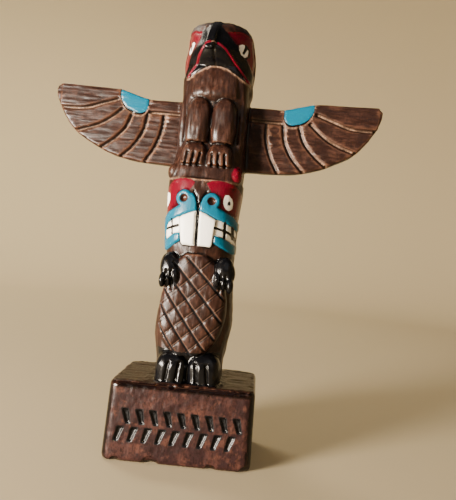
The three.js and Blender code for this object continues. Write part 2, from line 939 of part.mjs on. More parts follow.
function figures() {
  const { slab, hatch } = tail();
  const carved = joined([
    lowerPole().add(slab).subtract(hatch).subtract(mouthCuts()),
    feet(),
    paws(),
    mouth(),
    nose(),
    beaverEyes(),
    upperPole(),
    legs(),
    breast(),
    head(),
  ]);
  const pole = leant(carved, poleTurn, poleDrift);
  const spread = leant(wings(), () => wingTurn, () => 0);
  const raised = geometryOf(pole.add(spread));
  raised.translate(0, 0, baseHeight);
  return solidOf(raised);
}

const paintedResin = new THREE.MeshStandardMaterial({
  name: "painted resin",
  color: 0x7a5444,
  roughness: 0.35,
  metalness: 0,
});

const totemPole = new THREE.Mesh(geometryOf(base().add(figures())), paintedResin);
totemPole.name = "totem_pole";

const part = new THREE.Group();
part.add(totemPole);

export default part;
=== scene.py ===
# A souvenir totem pole: a thunderbird with spread wings above a beaver, on a block base.
# It is made as one resin casting, washed brown to look like carved wood, then picked out in enamel.
import math

import bpy
import numpy as np
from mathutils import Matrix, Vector


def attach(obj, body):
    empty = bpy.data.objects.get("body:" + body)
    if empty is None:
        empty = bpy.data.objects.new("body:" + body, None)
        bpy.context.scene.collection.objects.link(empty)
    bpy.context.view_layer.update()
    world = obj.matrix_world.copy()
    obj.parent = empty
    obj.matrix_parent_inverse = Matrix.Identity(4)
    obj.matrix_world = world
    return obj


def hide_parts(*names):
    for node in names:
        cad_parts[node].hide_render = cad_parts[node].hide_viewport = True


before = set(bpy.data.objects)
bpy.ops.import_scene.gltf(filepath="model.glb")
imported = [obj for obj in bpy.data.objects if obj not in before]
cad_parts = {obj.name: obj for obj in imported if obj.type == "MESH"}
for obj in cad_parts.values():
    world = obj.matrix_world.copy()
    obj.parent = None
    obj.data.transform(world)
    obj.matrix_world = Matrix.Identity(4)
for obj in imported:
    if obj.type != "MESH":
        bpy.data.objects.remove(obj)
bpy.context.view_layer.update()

mm = 0.001  # everything below is given in millimetres


# Small helpers

def smooth(value):
    held = np.clip(value, 0, 1)
    return held * held * (3 - 2 * held)


# a smooth curve through (height, value) rows
def profile(rows):
    heights = np.array([row[0] for row in rows], float)
    values = np.array([row[1] for row in rows], float)
    slopes = np.gradient(values, heights)

    def at(height):
        held = np.clip(height, heights[0], heights[-1])
        i = np.clip(np.searchsorted(heights, held) - 1, 0, len(heights) - 2)
        gap = heights[i + 1] - heights[i]
        t = (held - heights[i]) / gap
        rise = values[i + 1] - values[i]
        bend = t * (1 - t) * ((1 - t) * (slopes[i] * gap - rise) - t * (slopes[i + 1] * gap - rise))
        return values[i] + t * rise + bend

    return at


# a smooth random field from -1 to 1, with bumps of about the given size (one number or three)
def lumps(places, size, seed):
    scaled = places / np.array(size, float)
    cell = np.floor(scaled).astype(np.int64)
    part = smooth(scaled - cell)
    total = np.zeros(len(places))
    for corner in range(8):
        step = np.array([corner & 1, corner >> 1 & 1, corner >> 2 & 1])
        key = (cell + step) @ np.array([73856093, 19349663, 83492791]) + seed * 2654435761
        key = (key ^ (key >> 13)) * 1274126177
        key = (key ^ (key >> 16)) & 0xFFFFFF
        weight = np.prod(np.where(step, part, 1 - part), axis=1)
        total += weight * (key / 0x7FFFFF - 1)
    return total


# distance from each place to a line through the points
def lineDistance(x, z, points):
    best = np.full(len(x), 1e9)
    for (ax, az), (bx, bz) in zip(points, points[1:]):
        dx, dz = bx - ax, bz - az
        t = np.clip(((x - ax) * dx + (z - az) * dz) / (dx * dx + dz * dz), 0, 1)
        best = np.minimum(best, np.hypot(x - ax - t * dx, z - az - t * dz))
    return best


# how far each place lies inside a closed outline; negative outside it
def insideBy(x, z, points):
    best = lineDistance(x, z, list(points) + [points[0]])
    inside = np.zeros(len(x), bool)
    for (ax, az), (bx, bz) in zip(points, list(points[1:]) + [points[0]]):
        crosses = (az > z) != (bz > z)
        slope = np.where(crosses, (bx - ax) * (z - az) / ((bz - az) or 1) + ax, 0)
        inside ^= crosses & (x < slope)
    return np.where(inside, best, -best)


def insideOval(x, z, centre, radii, turn=0.0):
    c, s = math.cos(turn), math.sin(turn)
    u = ((x - centre[0]) * c + (z - centre[1]) * s) / radii[0]
    v = (-(x - centre[0]) * s + (z - centre[1]) * c) / radii[1]
    return (1 - np.hypot(u, v)) * min(radii)


# more points on a smooth line through a few
def curve(points, steps=6):
    given = np.array(points, float)
    padded = np.vstack([2 * given[0] - given[1], given, 2 * given[-1] - given[-2]])
    made = []
    for a, b, c, d in zip(padded, padded[1:], padded[2:], padded[3:]):
        for t in np.arange(steps) / steps:
            made.append(0.5 * (2 * b + (c - a) * t + (2 * a - 5 * b + 4 * c - d) * t ** 2
                               + (3 * b - a - 3 * c + d) * t ** 3))
    return [tuple(p) for p in made] + [tuple(given[-1])]


# Sizes, in millimetres; heights of the figures are measured from the top of the base

pole = dict(
    baseHeight=31, axisPlane=-1, backReach=12, rootDepth=3,
    footTop=12, tailBottom=11, tailTop=49.5, faceTop=80,
    toeBottom=86, thighBottom=95, thighTop=112.5, headBottom=116, top=147, wingTurn=-3.5,
)

# the carver's lean: every height of the pole has its own turn, in degrees, and drift
poleTurn = profile([(0, 0), (30, -1.2), (59.8, -2.2), (91.5, -3.5), (112.5, -3.5), (122, -8.5), (147, -8.5)])
poleDrift = profile([(0, 0), (20, 0), (34, 0.6), (46.5, 0.3), (57.8, -0.2), (80, -0.2), (91.5, 0.45),
                     (112.5, 0.45), (128.6, 0.2), (135.6, 0.2), (147, -0.7)])


def leanAt(height, onWing):
    if onWing:
        return np.full(len(height), math.radians(pole["wingTurn"])), np.zeros(len(height))
    return np.radians(poleTurn(height)), poleDrift(height)


# from the figures' own straight frame to where the casting stands, and back
def toWorld(co, onWing=False):
    angle, drift = leanAt(co[:, 2], onWing)
    return np.column_stack([
        co[:, 0] * np.cos(angle) - co[:, 1] * np.sin(angle) + drift,
        co[:, 0] * np.sin(angle) + co[:, 1] * np.cos(angle),
        co[:, 2] + pole["baseHeight"],
    ])


def toFigure(co, onWing=False):
    height = co[:, 2] - pole["baseHeight"]
    angle, drift = leanAt(height, onWing)
    x = co[:, 0] - drift
    return np.column_stack([
        x * np.cos(angle) + co[:, 1] * np.sin(angle),
        -x * np.sin(angle) + co[:, 1] * np.cos(angle),
        height,
    ])


# Mesh helpers

def selectOnly(*objects):
    if bpy.context.object and bpy.context.object.mode != "OBJECT":
        bpy.ops.object.mode_set(mode="OBJECT")
    bpy.ops.object.select_all(action="DESELECT")
    for o in objects:
        o.select_set(True)
    bpy.context.view_layer.objects.active = objects[0]


def places(piece):
    co = np.empty(len(piece.data.vertices) * 3)
    piece.data.vertices.foreach_get("co", co)
    return co.reshape(-1, 3) / mm


def place(piece, co):
    piece.data.vertices.foreach_set("co", (co * mm).ravel())
    piece.data.update()


def faceOut(piece):
    selectOnly(piece)
    bpy.ops.object.mode_set(mode="EDIT")
    bpy.ops.mesh.select_all(action="SELECT")
    bpy.ops.mesh.normals_make_consistent(inside=False)
    bpy.ops.object.mode_set(mode="OBJECT")


def addBall(name, centre, radii, turn=(0, 0, 0), segments=40):
    bpy.ops.object.select_all(action="DESELECT")
    bpy.ops.mesh.primitive_uv_sphere_add(segments=segments, ring_count=segments // 2, radius=1,
                                         location=[c * mm for c in centre], rotation=turn,
                                         scale=[r * mm for r in radii])
    ball = bpy.context.object
    ball.name = name
    bpy.ops.object.transform_apply(location=True, rotation=True, scale=True)
    return ball


# a blank: a disc extruded level by level, then squared up to its section
def addUpright(name, bottom, top, section, sides=72, step=1.0):
    levels = np.linspace(bottom, top, max(int((top - bottom) / step), 2) + 1)
    bpy.ops.object.select_all(action="DESELECT")
    bpy.ops.mesh.primitive_circle_add(vertices=sides, radius=mm, fill_type="NGON",
                                      location=(0, 0, levels[0] * mm))
    blank = bpy.context.object
    blank.name = name
    bpy.ops.object.transform_apply(location=True)
    bpy.ops.object.mode_set(mode="EDIT")
    bpy.ops.mesh.select_all(action="SELECT")
    for rise in np.diff(levels):
        bpy.ops.mesh.extrude_region_move(TRANSFORM_OT_translate={"value": (0, 0, rise * mm)})
    faceOut(blank)
    co = places(blank)
    radius = np.hypot(co[:, 0], co[:, 1])
    across, along = co[:, 0] / radius, co[:, 1] / radius
    s = section(co[:, 2])
    power = np.where(along < 0, s["frontPower"], s["backPower"])
    reach = np.where(along < 0, s["front"], s["back"])
    co[:, 0] = s["halfWidth"] * np.sign(across) * np.abs(across) ** (2 / power)
    co[:, 1] = s["centre"] + reach * np.sign(along) * np.abs(along) ** (2 / power)
    place(blank, co)
    return blank


# a flat outline in the front view, extruded backward, its edges rounded
def addPlate(name, outline, front, back, bevel):
    bpy.ops.object.select_all(action="DESELECT")
    bpy.ops.mesh.primitive_circle_add(vertices=len(outline), radius=1, fill_type="NGON")
    plate = bpy.context.object
    plate.name = name
    place(plate, np.array([(x, front, z) for x, z in outline]))
    bpy.ops.object.mode_set(mode="EDIT")
    bpy.ops.mesh.select_all(action="SELECT")
    bpy.ops.mesh.extrude_region_move(TRANSFORM_OT_translate={"value": (0, (back - front) * mm, 0)})
    faceOut(plate)
    soften(plate, bevel)
    return plate


def soften(piece, width, segments=4):
    selectOnly(piece)
    modifier = piece.modifiers.new("soft edges", "BEVEL")
    modifier.width = width * mm
    modifier.segments = segments
    modifier.limit_method = "ANGLE"
    modifier.angle_limit = math.radians(50)
    bpy.ops.object.modifier_apply(modifier=modifier.name)


# the piece, and one like it on the other side of the middle plane, with its own mesh
def mirrored(piece):
    selectOnly(piece)
    bpy.ops.object.duplicate()
    other = bpy.context.object
    other.scale.x = -1
    bpy.ops.object.transform_apply(scale=True)
    faceOut(other)
    return [piece, other]


# Lower pole: the beaver's body and face

lowerHalfWidth = profile([(0, 13.3), (8, 13.7), (14, 14.6), (21, 15.5), (35, 14.3), (46.5, 13.7),
                          (56.8, 14.1), (67.3, 14.7), (74, 15.1), (80, 15.1)])
lowerReach = profile([(0, 11), (23, 12), (46.5, 11.6), (51, 13), (58.8, 13.6), (80, 12.7)])


def lowerSection(height):
    return dict(halfWidth=lowerHalfWidth(height), front=lowerReach(height), back=pole["backReach"],
                frontPower=2.4, backPower=3.6, centre=pole["axisPlane"])


def addLowerPole():
    return [addUpright("beaver body", -pole["rootDepth"], pole["faceTop"], lowerSection)]


# Upper pole: the thunderbird's body

upperHalfWidth = profile([(79, 14.6), (85, 14.5), (91.5, 13.9), (122, 13.7)])
upperReach = profile([(79, 12), (85, 11.2), (91.5, 9.2), (112.5, 8.6), (122, 8.2)])


def upperSection(height):
    return dict(halfWidth=upperHalfWidth(height), front=upperReach(height), back=pole["backReach"],
                frontPower=3.1, backPower=3.6, centre=pole["axisPlane"])


def addUpperPole():
    return [addUpright("thunderbird body", pole["faceTop"] - 2, pole["headBottom"] + 6, upperSection)]


# Beaver's feet, tail and paws

tail = dict(thickness=5, centre=-10.5, power=3.4)
foot = dict(halfWidth=6.4, reach=6.3, centre=-9.6, shoulder=5, shift=0.8)
paw = dict(halfWidth=4.1, reach=3.6, length=12.4, side=10.7, front=-12.75, shift=0.8, claws=3, clawPitch=2.5,
           clawRadii=(1.3, 1.7, 2.9))


# the tail is egg-shaped below and arched above
tailHalf = profile([(11, 4.5), (12, 6.3), (14, 8.7), (16.7, 10.6), (20.2, 12.1), (24, 13), (28, 13.2),
                    (37, 12.2), (42, 11.3), (46, 9.5), (48.5, 7), (50.5, 4)])


def addTail():
    def section(height):
        return dict(halfWidth=tailHalf(height), front=tail["thickness"], back=tail["thickness"],
                    frontPower=tail["power"], backPower=tail["power"], centre=tail["centre"])
    return [addUpright("beaver tail", pole["tailBottom"], pole["tailTop"] + 1, section)]


def addFeet():
    def section(height):
        share = np.maximum((height - foot["shoulder"]) / (pole["footTop"] - foot["shoulder"]), 0)
        drawn = np.maximum(1 - share ** 2.5, 0.01) ** 0.4
        return dict(halfWidth=foot["halfWidth"] * drawn, front=foot["reach"] * drawn,
                    back=foot["reach"] * drawn, frontPower=2.8, backPower=2, centre=foot["centre"])
    lobe = addUpright("foot", -pole["rootDepth"], pole["footTop"], section, step=0.5)
    return [shifted(piece, foot["shift"]) for piece in mirrored(shifted(lobe, foot["halfWidth"]))]


def pawForms():
    middle = pole["tailTop"] - paw["length"] * 0.43
    forms = [((paw["side"], paw["front"], middle), (paw["halfWidth"], paw["reach"], paw["length"] / 2))]
    for i in range(paw["claws"]):
        x = paw["side"] + (i - (paw["claws"] - 1) / 2) * paw["clawPitch"]
        forms.append(((x, paw["front"] - 2.4, middle - 2.6 - i), paw["clawRadii"]))
    return forms


def addPaws():
    forms = []
    for centre, radii in pawForms():
        forms += [shifted(piece, paw["shift"]) for piece in mirrored(addBall("paw", centre, radii))]
    return forms


# Thunderbird's legs, breast and wings

leg = dict(spread=5.1, footHalfWidth=5.2, footReach=3.8, toePitch=2.6, front=-9.6,
           thighHalfWidth=5, thighReach=4.3)


def shifted(piece, x):
    piece.location.x = x * mm
    selectOnly(piece)
    bpy.ops.object.transform_apply(location=True)
    return piece


def addLegs():
    def footSection(height):
        share = (height - pole["toeBottom"]) / (pole["thighBottom"] - pole["toeBottom"])
        drawn = np.maximum(1 - np.maximum(share, 0) ** 3.2, 0.02) ** 0.4
        return dict(halfWidth=leg["footHalfWidth"] * drawn, front=leg["footReach"] * drawn,
                    back=leg["footReach"] * drawn, frontPower=3, backPower=2, centre=leg["front"])

    def thighSection(height):
        share = (height - pole["thighBottom"]) / (pole["thighTop"] - pole["thighBottom"])
        swell = np.maximum(1 - np.abs((share - 0.42) / 0.6) ** 2.8, 0.02) ** 0.4
        return dict(halfWidth=leg["thighHalfWidth"] * swell, front=leg["thighReach"] * swell,
                    back=leg["thighReach"] * swell, frontPower=2.6, backPower=2, centre=leg["front"] + 0.4)

    toes = addUpright("toes", pole["toeBottom"], pole["thighBottom"], footSection, sides=48, step=0.5)
    thigh = addUpright("thigh", pole["thighBottom"], pole["thighTop"], thighSection, sides=48, step=0.6)
    return mirrored(shifted(toes, leg["spread"])) + mirrored(shifted(thigh, leg["spread"]))


throatFront = profile([(110.5, 6.6), (112.5, 9.6), (118.5, 10.6), (127, 9.1)])


def addBreast():
    def section(height):
        return dict(halfWidth=np.full(len(height), 12.7), front=throatFront(height), back=8.6,
                    frontPower=2.3, backPower=2, centre=pole["axisPlane"])
    throat = addUpright("throat", 110.5, 127, section)
    shoulder = addBall("shoulder", (11.6, -4.4, 102.25), (2.3, 4, 15.9))
    return [throat] + mirrored(shoulder)


wing = dict(tip=69.6, root=9, front=1.5, thickness=4.6, bevel=1.1, topAtTip=118, topAtRoot=113.9,
            patchInner=28.6, patchOuter=41.4, patchDrop=8)


def wingOutline():
    tip, top, root = wing["tip"], wing["topAtTip"], wing["topAtRoot"]
    inner, outer = wing["patchInner"], wing["patchOuter"]
    upper = curve([(inner - 1.6, root), (inner + 2, root + 0.5), (inner + 6.5, root + 1.7),
                   (outer, top - 0.6)], 3)
    lower = curve([(tip - 2, top), (tip, top - 2.5), (tip - 1.4, top - 8), (tip - 6.5, top - 16.1),
                   (tip - 12.2, top - 21.6), (tip - 20.6, top - 26), (outer + 1.7, top - 28.4),
                   (inner + 3, top - 30.8), (wing["root"], top - 31.6)], 4)
    return [(wing["root"], root)] + upper + lower


def addWings():
    plate = addPlate("wing", wingOutline(), wing["front"], wing["front"] + wing["thickness"], wing["bevel"])
    return mirrored(plate)


# Thunderbird's head

head = dict(beakReach=17, beakWidth=3.3, beakTip=130.6, centre=0, crown=145.8)
headHalf = profile([(116, 13.9), (122, 14.2), (127.6, 14.7), (131.6, 14.6), (136.1, 13.9), (139.6, 13.5),
                    (142.3, 12.6), (144.8, 10.7), (145.8, 8.2)])
headReach = profile([(116, 8.6), (124, 10), (126.5, 11.2), (128.6, 14.6), (130.6, 16), (135.1, 15),
                     (139.6, 12.6), (142.3, 10), (144.8, 6), (145.8, 4)])
headPower = profile([(116, 2.4), (125, 1.9), (129.6, 1.5), (138.6, 1.55), (147, 2)])


def headSection(height):
    return dict(halfWidth=headHalf(height), front=headReach(height),
                back=np.minimum(pole["backReach"], 5 + (pole["top"] - height) * 1.6),
                frontPower=headPower(height), backPower=2.8, centre=head["centre"])


# the beaver's ear: centre and radii
earBall = ((12.3, -7.6, pole["faceTop"] + 3), (2.56, 3.2, 3.52))


def addHead():
    skull = addUpright("head", pole["headBottom"], head["crown"], headSection, step=0.6)
    front, tip = -head["beakReach"], head["beakTip"]
    side = [(-1, pole["top"])]
    side += curve([(-1, 147), (-6, 145.3), (-11.5, 141.5), (-15, 137.5), (-16.6, 133.5),
                   (front, tip - 0.6)], 4)[1:]
    side += [(front + 3.5, tip + 1), (-1, tip + 1)]
    ridge = addPlate("beak ridge", side, -head["beakWidth"] / 2, head["beakWidth"] / 2, 0.8)
    co = places(ridge)
    place(ridge, co[:, [1, 0, 2]])  # the side view's plate is turned to run along the pole's middle
    faceOut(ridge)
    lobes = mirrored(addBall("head lobe", (12.3, 2, pole["headBottom"] + 3.4), (2.2, 5, 4.6)))
    ears = mirrored(addBall("ear", *earBall, (0, -0.2, 0)))
    return [skull, ridge] + lobes + ears


# Base block

block = dict(width=58.4, depth=37, draft=0.9, corner=4, edge=2.2)


def addBase():
    height = pole["baseHeight"]
    bpy.ops.object.select_all(action="DESELECT")
    bpy.ops.mesh.primitive_cube_add(size=mm, location=(0, 0, height * mm / 2),
                                    scale=(block["width"], block["depth"], height))
    base = bpy.context.object
    base.name = "base block"
    bpy.ops.object.transform_apply(location=True, scale=True)
    bpy.ops.object.mode_set(mode="EDIT")
    bpy.ops.mesh.select_mode(type="EDGE")
    bpy.ops.mesh.select_all(action="DESELECT")
    bpy.ops.object.mode_set(mode="OBJECT")
    for edge in base.data.edges:
        a, b = (base.data.vertices[i].co for i in edge.vertices)
        edge.select = abs(a.z - b.z) > mm
    bpy.ops.object.mode_set(mode="EDIT")
    bpy.ops.mesh.bevel(offset=block["corner"] * mm, segments=8)
    bpy.ops.object.mode_set(mode="OBJECT")
    soften(base, block["edge"], 6)
    co = places(base)
    drawn = 1 - block["draft"] * co[:, 2] / height / (block["width"] / 2)
    co[:, 0] *= drawn
    co[:, 1] *= drawn
    place(base, co)
    return base


# all the forms are joined and remeshed into the one closed skin of the casting
def castInOne():
    figures = addLowerPole() + addUpperPole() + addTail() + addFeet() + addPaws()
    figures += addLegs() + addBreast() + addHead()
    spread = addWings()
    for form in figures + spread:
        place(form, toWorld(places(form), onWing=form in spread))
    base = addBase()
    selectOnly(base, *figures, *spread)
    bpy.ops.object.join()
    casting = bpy.context.object
    casting.name = "totemPole"
    casting.data.name = "totemPole"
    remesh = casting.modifiers.new("one skin", "REMESH")
    remesh.mode = "VOXEL"
    remesh.voxel_size = 0.4 * mm
    bpy.ops.object.modifier_apply(modifier=remesh.name)
    print("cast in one:", len(casting.data.vertices), "vertices")
    return casting


casting = castInOne()


# Carving: relief pushed along the skin's own normals, drawn in the figures' straight frame

def normals(piece):
    made = np.empty(len(piece.data.vertices) * 3)
    piece.data.vertices.foreach_get("normal", made)
    return made.reshape(-1, 3)


def neighbours(piece):
    pairs = np.empty(len(piece.data.edges) * 2, np.int64)
    piece.data.edges.foreach_get("vertices", pairs)
    return pairs.reshape(-1, 2)


# each value drawn towards the mean of its neighbours, a few times over
def relaxed(values, pairs, rounds, amount=0.7):
    count = np.maximum(np.bincount(pairs.ravel(), minlength=len(values)), 1)
    for _ in range(rounds):
        total = np.zeros_like(values)
        for column in range(values.shape[1]):
            total[:, column] += np.bincount(pairs[:, 0], values[pairs[:, 1], column], len(values))
            total[:, column] += np.bincount(pairs[:, 1], values[pairs[:, 0], column], len(values))
        values = values + amount * (total / count[:, None] - values)
    return values


far = -9.0  # stands for well outside a drawn shape


# works a function out only where the mask holds
def within(mask, function, *arrays):
    made = np.full(len(mask), far)
    if mask.any():
        made[mask] = function(*[a[mask] for a in arrays])
    return made


def nearLines(mask, x, z, lines):
    made = np.full(len(x), far)
    for line in lines:
        made = np.maximum(made, within(mask, lambda a, b: -lineDistance(a, b, line), x, z))
    return made


hatch = dict(count=7, width=0.95, depth=0.55, lightWidth=0.7, lightDepth=0.25, firstFall=46, fallStep=8.1,
             fallSlope=1.03, steeper=0.07, firstRise=42.4, riseStep=7.5, riseSlope=0.95, reach=13,
             doubled=0.5)


# deep cuts fall to the right, a little steeper further down, and lighter double ones rise to it
def hatchLines():
    deep, light = [], []
    reach = hatch["reach"]
    rise = reach * hatch["riseSlope"]
    for i in range(hatch["count"]):
        fall = reach * (hatch["fallSlope"] + hatch["steeper"] * i)
        middle = hatch["firstFall"] - hatch["fallStep"] * i
        deep.append([(-reach, middle + fall), (reach, middle - fall)])
        for beside in (-hatch["doubled"], hatch["doubled"]):
            middle = hatch["firstRise"] - hatch["riseStep"] * i + beside
            light.append([(-reach, middle - rise), (reach, middle + rise)])
    return deep, light


# which line of the hatching a place is on, in whole numbers on the lines themselves
def hatchCounts(x, h):
    fall = (hatch["firstFall"] - h - hatch["fallSlope"] * x) / (hatch["fallStep"] + hatch["steeper"] * x)
    rise = (hatch["firstRise"] - h + hatch["riseSlope"] * x) / hatch["riseStep"]
    return np.maximum(fall, -0.45), rise  # nothing falls above the first line


feather = dict(width=1.9, depth=1.0, band=108.2)


def featherLines():
    band = feather["band"]
    return [
        [(15, band), (28, band)],
        curve([(21.7, band), (22.1, band - 6.7), (24.3, band - 13.9), (27.2, band - 19.2),
               (28, band - 20.6)]),
        curve([(28.8, band - 0.7), (30, band - 7.7), (33.2, band - 13.7), (37.2, band - 18.2),
               (38.6, band - 19.6)]),
        curve([(35.6, band - 1.2), (37.9, band - 7.2), (42.3, band - 12.2), (46.7, band - 15.7),
               (48.4, band - 17)]),
        curve([(40, band + 0.5), (45.3, band - 4), (50.8, band - 7.2), (58.3, band - 9.8),
               (60.4, band - 10.4)]),
        curve([(42.4, band + 4.6), (49.5, band + 2.1), (57, band - 0.2), (69, band - 0.6)]),
    ]


def insidePatch(x, z):
    middle = (wing["patchInner"] + wing["patchOuter"]) / 2
    radius = (wing["patchOuter"] - wing["patchInner"]) / 2
    share = np.clip((x - middle) / radius, -1, 1)
    top = wing["topAtRoot"] + (wing["topAtTip"] - wing["topAtRoot"]) * (0.5 + 0.5 * share)
    bottom = top - wing["patchDrop"] * (1 - np.abs(share) ** 2.6) ** (1 / 2.6)
    return np.minimum(np.minimum(z - bottom, radius - np.abs(x - middle)), top + 3 - z)


# the beaver's mouth and face, by distance from the middle and height
mouth = dict(
    incisor=[(0.6, 53.9), (5.6, 53.8), (6.1, 54.6), (7.2, 64.6), (3.4, 66.4), (0.6, 67.3)],
    turquoise=[(0.45, 67.5), (3.4, 66.5), (7.3, 64.7), (11, 63.5), (13.6, 62.1), (14.7, 60), (14.9, 57),
               (14.4, 55.4), (10.5, 57.8), (6.6, 58.8), (6.4, 55.4), (10.2, 53.4), (14, 51.2), (17, 49.8),
               (17, 63), (15.1, 64.4), (13.3, 66.6), (10.4, 68.1), (7.4, 69.4), (6.6, 71), (4.6, 74.2),
               (2.8, 74.2), (1.2, 72.6), (0.5, 70.4)],
    red=[(2.2, 78.4), (4.2, 79.7), (9.5, 79.9), (12.6, 79.2), (14.6, 77.4), (17, 73), (17, 63), (15.1, 64.4),
         (13.3, 66.6), (10.4, 68.1), (7.2, 69.4), (6, 72), (4.3, 75.4)],
    sideTeeth=[(6.4, 58.6), (7.4, 64.7), (11, 63.5), (13.6, 62.1), (14.7, 60), (14.9, 57), (14.4, 55.4),
               (10.5, 57.8)],
    rightCuts=[[(7, 61.4), (11, 60.5), (13.6, 58.6), (14.8, 55.8)], [(10.6, 63.8), (10.5, 57.8)],
               [(13.2, 62.3), (13.4, 58)]],
    leftCuts=[[(-13.2, 59.6), (-7.6, 61.2)], [(-10.6, 63.4), (-10.2, 58)]],
    middleCut=[(0, 54.2), (0, 67.5), (0.5, 70.4), (1.2, 73), (2.6, 75.2)],
    nostrils=((4.9, 71.6), (-6.1, 72)), nostrilRadius=1.65, lobeRadius=3.3,
    rightEye=(11.0, 71.8), leftEye=(-14.3, 71.2), eyeRadii=(1.75, 3.1), eyeTurn=0.2,
    pupilShift=(0.3, -0.2), pupilRadii=(0.6, 1.15), squeeze=1.3,
)

# the thunderbird's face, by distance from the middle and height
beak = dict(
    shift=1.4, rightEyeShift=1.1, leftEyeShift=0.5, eyeDrop=1.2,
    lip=[(1.5, 132.5), (2.6, 132.1), (4.2, 131.1), (6.4, 128.6), (8.8, 125.6), (11, 122.9), (12, 121.6)],
    lipHalf=0.62,
    cere=[(0, 148), (2.1, 148), (2.4, 141), (4.9, 138.4), (5.3, 137.6), (7.1, 134.4), (8.9, 132), (11, 130.1),
          (12.8, 126.4), (13.9, 124.2), (14.6, 121), (11.6, 122.3), (9, 125.6), (6.6, 128.8), (4.3, 131.5),
          (2.6, 132.6), (0, 133)],
    jaw=[(0, 132.4), (2.6, 131.8), (4.2, 130.8), (6.2, 128.2), (8.5, 125.3), (10.8, 122.6), (12.4, 120.8),
         (11.4, 120.9), (9, 122.2), (6, 123.8), (4.4, 124.7), (2.5, 125.3), (0, 125.5)],
    cheek=[(5.2, 138.7), (5.3, 137.6), (7.1, 134.4), (8.9, 132), (11, 130.1), (12.8, 126.4), (13.9, 124.2),
           (17, 122.5), (17, 139.6), (13, 140.6), (11, 141), (9.2, 140.8), (7.7, 139.7)],
    eye=[(8.1, 135.9), (9, 137), (10.1, 137.2), (11, 136.4), (11.4, 134.7), (11.3, 133.2), (10.5, 131.9),
         (9.5, 132.3), (8.7, 133.9)],
    pupil=[(10.55, 136.6), (10.0, 133.5)], pupilHalf=0.42,
)


# slanted wedges in two rows fill the band on the front of the base
stroke = dict(rows=2, inRow=9, bandWidth=48, rise=8.1, rowHeight=5.5, gap=1.4, slant=1.6, foot=0.8, head=1.3)


def strokes():
    pitch = stroke["bandWidth"] / stroke["inRow"]
    made = []
    for row in range(stroke["rows"]):
        lean = stroke["slant"] / 2 if row % 2 == 0 else -stroke["slant"] / 2
        low = stroke["rise"] - pole["baseHeight"] + row * (stroke["rowHeight"] + stroke["gap"])
        high = low + stroke["rowHeight"]
        for i in range(stroke["inRow"]):
            x = -stroke["bandWidth"] / 2 + (i + 0.25 + 0.5 * (row % 2)) * pitch
            made.append([(x - lean - stroke["foot"], low), (x - lean + stroke["foot"], low),
                         (x + lean + stroke["head"], high), (x + lean - stroke["head"], high)])
    return made


# how far each place lies inside any of some balls
def insideBalls(co, balls):
    best = np.full(len(co), far)
    for centre, radii in balls:
        for side in (1, -1):
            part = (co - np.array((centre[0] * side, centre[1], centre[2]))) / np.array(radii)
            best = np.maximum(best, (1 - np.sqrt((part ** 2).sum(axis=1))) * min(radii))
    return best


